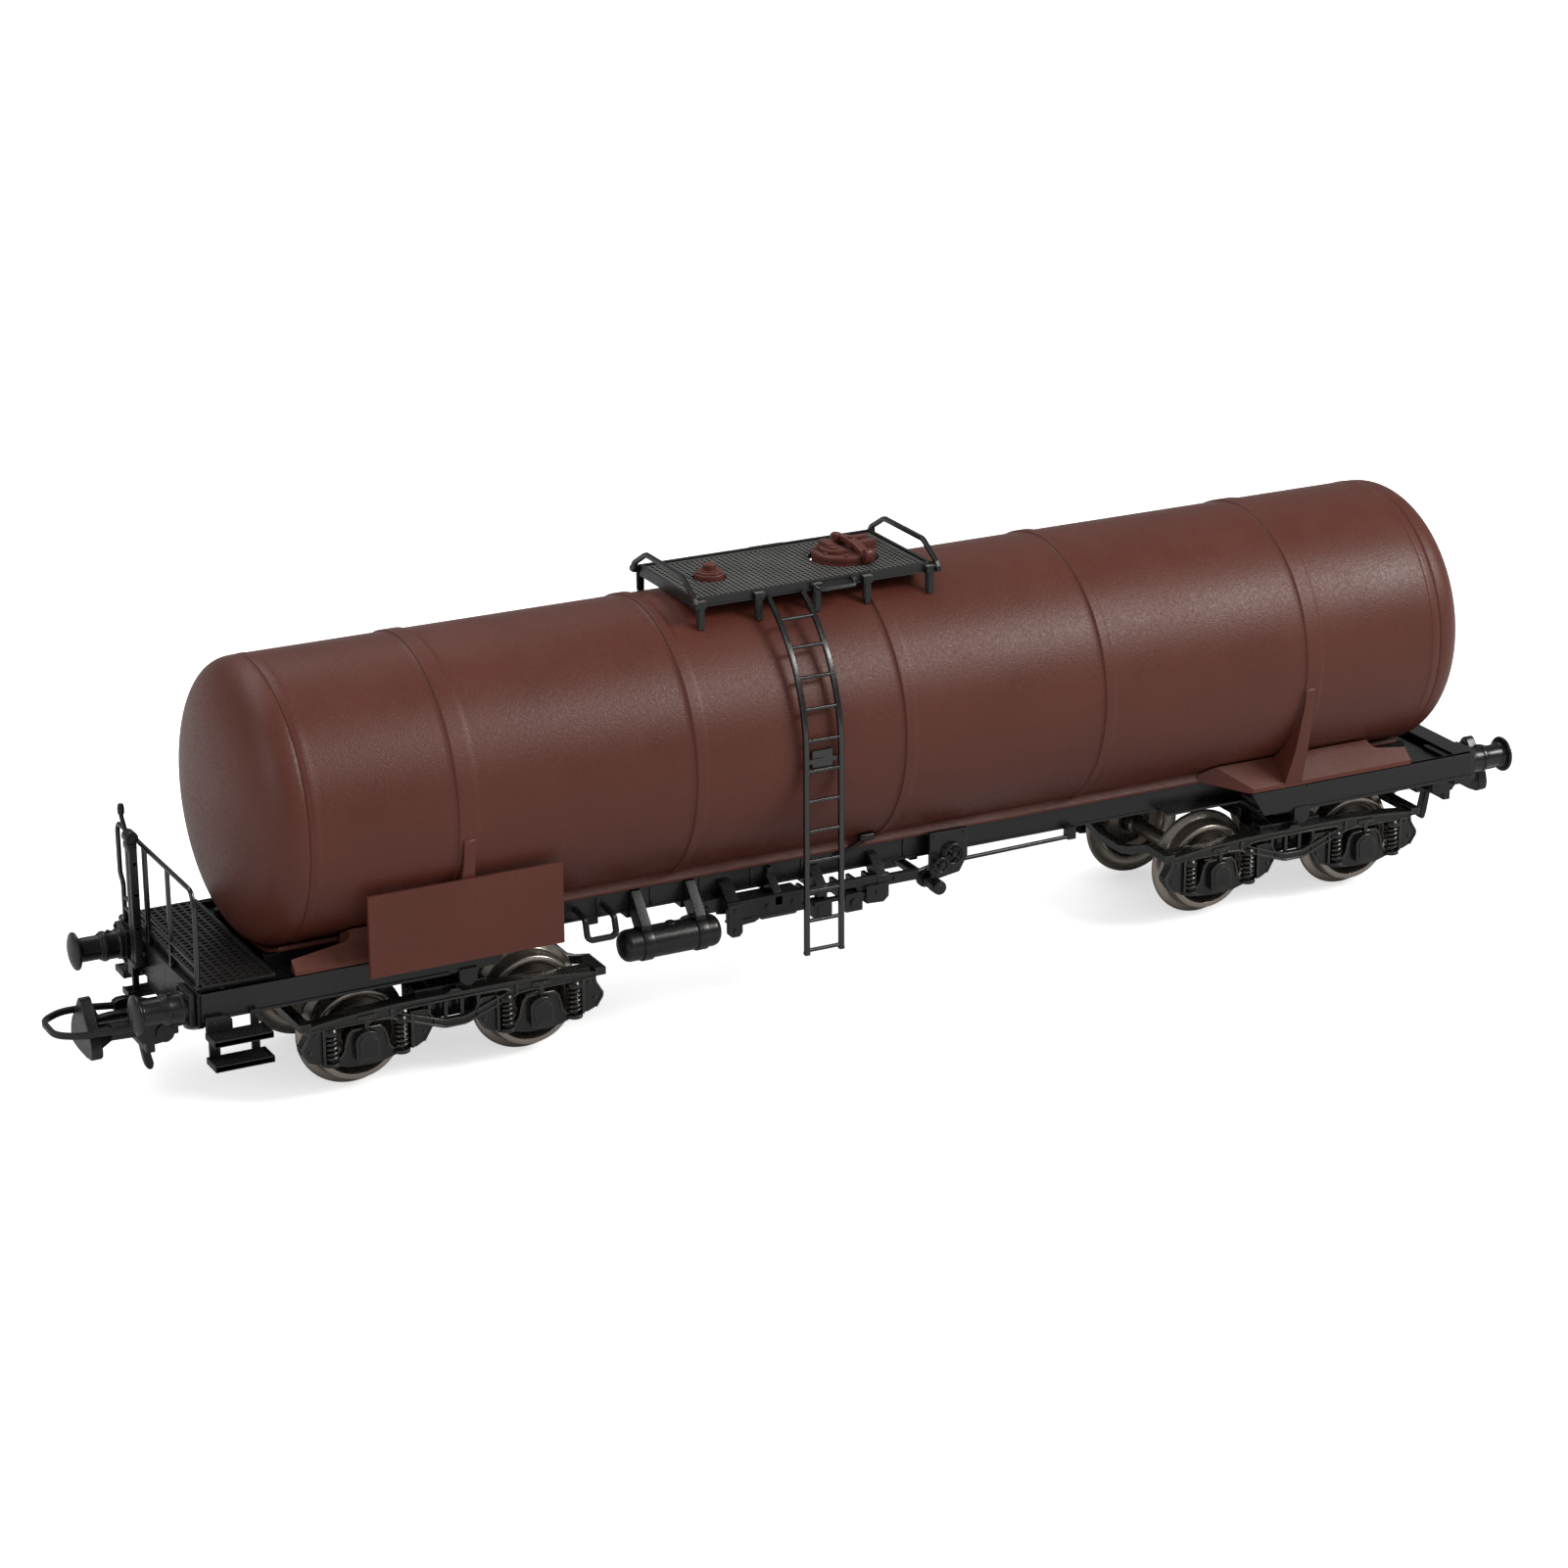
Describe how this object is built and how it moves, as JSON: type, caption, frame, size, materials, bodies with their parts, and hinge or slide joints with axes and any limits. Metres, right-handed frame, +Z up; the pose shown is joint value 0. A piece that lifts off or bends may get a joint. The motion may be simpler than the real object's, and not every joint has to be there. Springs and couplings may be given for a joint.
{
  "type": "model tank wagon",
  "caption": "HO scale tank wagon with a long welded tank on a low underframe, swivelling bogies with free-running wheelsets, roof walkway, ladders, brake platform and loop couplers.",
  "frame": {"origin": "on the centreline, midway between the buffer faces, on the plane the wheel flanges stand on", "axes": "+X along the wagon towards the plain end, -X towards the brake platform, +Y to the far side, +Z up"},
  "size_m": [0.1886, 0.0338, 0.0508],
  "materials": {
    "tank_brown": "satin oxide brown",
    "chassis_black": "moulded satin black",
    "wheel_metal": "chemically darkened nickel, bright tread",
    "axle_steel": "turned steel",
    "ballast_steel": "plain mild steel bar"
  },
  "bodies": {
    "root": {"tank_barrel": "tank_brown", "tank_end_left": "tank_brown", "tank_end_right": "tank_brown", "tank_saddle": "tank_brown", "sign_panel_near": "tank_brown", "sign_panel_far": "tank_brown", "safety_valve": "tank_brown", "manhole_neck": "tank_brown", "manhole_lid": "tank_brown", "manhole_clamp": "tank_brown", "walkway": "chassis_black", "walkway_hoop_left": "chassis_black", "walkway_hoop_right": "chassis_black", "side_grab_near": "chassis_black", "side_grab_far": "chassis_black", "ladder_near": "chassis_black", "ladder_far": "chassis_black", "underframe": "chassis_black", "buffer_left_near": "chassis_black", "buffer_left_far": "chassis_black", "buffer_right_near": "chassis_black", "buffer_right_far": "chassis_black", "brake_platform": "chassis_black", "platform_railing": "chassis_black", "brake_column": "chassis_black", "brake_crank": "chassis_black", "step_left_near": "chassis_black", "step_left_far": "chassis_black", "shunter_step": "chassis_black", "air_reservoir": "chassis_black", "brake_gear": "chassis_black", "safety_loop": "chassis_black", "changeover_plate": "chassis_black", "handwheel_large": "chassis_black", "handwheel_small": "chassis_black", "discharge_pipe": "chassis_black", "valve_lever": "chassis_black", "ballast_weight": "ballast_steel", "bogie_screw_left": "axle_steel", "bogie_screw_right": "axle_steel", "coupler_pin_left": "axle_steel", "coupler_pin_right": "axle_steel"},
    "bogie_left": {"bogie_frame_left": "chassis_black"},
    "wheelset_left_inner": {"axle_left_inner": "axle_steel", "wheel_left_inner_near": "wheel_metal", "wheel_left_inner_far": "wheel_metal"},
    "wheelset_left_outer": {"axle_left_outer": "axle_steel", "wheel_left_outer_near": "wheel_metal", "wheel_left_outer_far": "wheel_metal"},
    "coupler_left": {"drawbar_left": "chassis_black"},
    "loop_left": {"coupler_loop_left": "chassis_black"},
    "bogie_right": {"bogie_frame_right": "chassis_black"},
    "wheelset_right_inner": {"axle_right_inner": "axle_steel", "wheel_right_inner_near": "wheel_metal", "wheel_right_inner_far": "wheel_metal"},
    "wheelset_right_outer": {"axle_right_outer": "axle_steel", "wheel_right_outer_near": "wheel_metal", "wheel_right_outer_far": "wheel_metal"},
    "coupler_right": {"drawbar_right": "chassis_black"},
    "loop_right": {"coupler_loop_right": "chassis_black"}
  },
  "joints": [
    {"name": "bogie_swivel_left", "type": "hinge", "parent": "root", "child": "bogie_left", "pos_m": [-0.0523, 0, 0.01], "axis": [0, 0, 1], "range_deg": [-12, 12]},
    {"name": "wheelset_spin_left_inner", "type": "hinge", "parent": "bogie_left", "child": "wheelset_left_inner", "pos_m": [-0.04205, 0, 0.00638], "axis": [0, 1, 0], "continuous": true},
    {"name": "wheelset_spin_left_outer", "type": "hinge", "parent": "bogie_left", "child": "wheelset_left_outer", "pos_m": [-0.06255, 0, 0.00638], "axis": [0, 1, 0], "continuous": true},
    {"name": "coupler_swing_left", "type": "hinge", "parent": "root", "child": "coupler_left", "pos_m": [-0.0776, 0, 0.0086], "axis": [0, 0, 1], "range_deg": [-10, 10]},
    {"name": "loop_lift_left", "type": "hinge", "parent": "coupler_left", "child": "loop_left", "pos_m": [-0.0824, 0, 0.0084], "axis": [0, 1, 0], "range_deg": [0, 18]},
    {"name": "bogie_swivel_right", "type": "hinge", "parent": "root", "child": "bogie_right", "pos_m": [0.05585, 0, 0.01], "axis": [0, 0, 1], "range_deg": [-12, 12]},
    {"name": "wheelset_spin_right_inner", "type": "hinge", "parent": "bogie_right", "child": "wheelset_right_inner", "pos_m": [0.0456, 0, 0.00638], "axis": [0, 1, 0], "continuous": true},
    {"name": "wheelset_spin_right_outer", "type": "hinge", "parent": "bogie_right", "child": "wheelset_right_outer", "pos_m": [0.0661, 0, 0.00638], "axis": [0, 1, 0], "continuous": true},
    {"name": "coupler_swing_right", "type": "hinge", "parent": "root", "child": "coupler_right", "pos_m": [0.0776, 0, 0.0086], "axis": [0, 0, 1], "range_deg": [-10, 10]},
    {"name": "loop_lift_right", "type": "hinge", "parent": "coupler_right", "child": "loop_right", "pos_m": [0.0824, 0, 0.0084], "axis": [0, -1, 0], "range_deg": [0, 18]}
  ]
}
